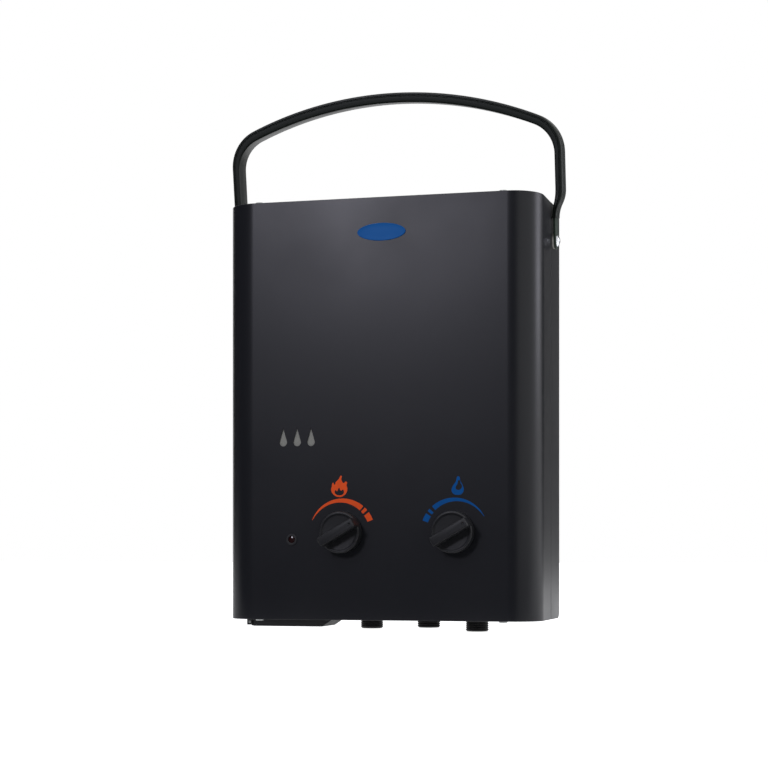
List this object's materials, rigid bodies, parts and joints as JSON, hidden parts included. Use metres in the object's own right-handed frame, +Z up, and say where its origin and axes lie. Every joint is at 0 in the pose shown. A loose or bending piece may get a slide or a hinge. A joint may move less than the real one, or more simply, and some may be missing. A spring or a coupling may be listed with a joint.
{
  "type": "portable propane water heater",
  "caption": "Hung sheet steel gas water heater with a folding carry handle, two control knobs, flame windows, a battery door and threaded pipe stubs below.",
  "frame": {"origin": "centre of the wall keyhole's entry hole on the back sheet's outer face", "axes": "+X to the right seen from the front, +Y towards the wall, +Z up; the front face looks along -Y"},
  "size_m": [0.311, 0.131, 0.4918],
  "materials": {
    "powder_coat": "satin charcoal powder coat",
    "galvanised_steel": "zinc coated sheet",
    "zinc_screws": "zinc plated",
    "chrome": "polished",
    "nylon": "moulded",
    "handle_plastic": "satin moulded",
    "coated_steel": "black coated strip",
    "knob_plastic": "satin moulded",
    "lamp_lens": "dark red lens",
    "mica": "translucent sheet",
    "badge_blue": "plain plate",
    "stub_black": "black coated brass fittings",
    "brass": "machined",
    "cast_aluminium": "die cast",
    "stainless_steel": "pressed",
    "copper": "brazed copper",
    "rubber": "moulded",
    "ceramic": "glazed",
    "lead_silicone": "silicone sleeve",
    "battery_can": "plain sleeve"
  },
  "bodies": {
    "casing": {"front_cover": "powder_coat", "back_plate": "powder_coat", "top_plate": "powder_coat", "bottom_plate": "powder_coat", "draft_hood": "galvanised_steel", "case_screws": "zinc_screws", "handle_pivot_screws": "chrome", "handle_spacers": "nylon", "handle_nuts": "zinc_screws", "indicator_bezel": "knob_plastic", "indicator_lens": "lamp_lens", "window_pane": "mica", "window_frame": "galvanised_steel", "badge": "badge_blue", "gas_inlet": "stub_black", "gas_pipe": "copper", "gas_valve_body": "cast_aluminium", "solenoid": "cast_aluminium", "gas_riser": "copper", "gas_manifold": "cast_aluminium", "burner_jets": "brass", "burner_bars": "stainless_steel", "burner_frame": "galvanised_steel", "cold_inlet": "stub_black", "inlet_filter": "brass", "water_valve_body": "cast_aluminium", "drain_plug": "zinc_screws", "diaphragm": "rubber", "diaphragm_cover": "cast_aluminium", "diaphragm_screws": "zinc_screws", "cold_pipe": "copper", "water_coil": "copper", "exchanger_tubes": "copper", "exchanger_fins": "copper", "combustion_chamber": "copper", "hot_pipe": "copper", "hot_outlet": "stub_black", "pipe_nuts": "brass", "overheat_thermostat": "stainless_steel", "switch_bracket": "galvanised_steel", "microswitch": "nylon", "igniter_box": "nylon", "spark_electrode": "ceramic", "flame_sensor": "ceramic", "ignition_leads": "lead_silicone", "battery_case": "nylon", "door_pin": "zinc_screws", "battery_contacts": "brass", "batteries": "battery_can"},
    "handle": {"handle_band": "coated_steel", "handle_grip": "handle_plastic"},
    "gas_control": {"gas_knob": "knob_plastic", "gas_spindle": "brass"},
    "water_control": {"water_knob": "knob_plastic", "water_spindle": "brass"},
    "door": {"battery_door": "knob_plastic", "door_springs": "stainless_steel"},
    "rod": {"push_rod": "brass", "gas_poppet": "rubber"},
    "lever": {"switch_lever": "galvanised_steel"}
  },
  "joints": [
    {"name": "handle_swing", "type": "hinge", "parent": "casing", "child": "handle", "pos_m": [0, -0.032, 0.002], "axis": [1, 0, 0], "range_deg": [-160, 118]},
    {"name": "gas_knob_turn", "type": "hinge", "parent": "casing", "child": "gas_control", "pos_m": [-0.0325, -0.108, -0.262], "axis": [0, -1, 0], "range_deg": [0, 127]},
    {"name": "water_knob_turn", "type": "hinge", "parent": "casing", "child": "water_control", "pos_m": [0.0694, -0.108, -0.262], "axis": [0, -1, 0], "range_deg": [0, 127]},
    {"name": "battery_door_swing", "type": "hinge", "parent": "casing", "child": "door", "pos_m": [-0.1255, -0.072, -0.343], "axis": [0, 1, 0], "range_deg": [0, 105]},
    {"name": "push_rod_slide", "type": "slide", "parent": "casing", "child": "rod", "axis": [-1, 0, 0], "range_m": [0, 0.0035], "stiffness_N_per_m": 500, "springref_m": -0.004},
    {"name": "switch_lever_turn", "type": "hinge", "parent": "casing", "child": "lever", "pos_m": [0.0295, -0.05, -0.246], "axis": [0, 1, 0], "range_deg": [0, 12.6]}
  ],
  "couplings": [
    {"joint": "switch_lever_turn", "follows": "push_rod_slide", "rad_per_m": 62.5}
  ]
}
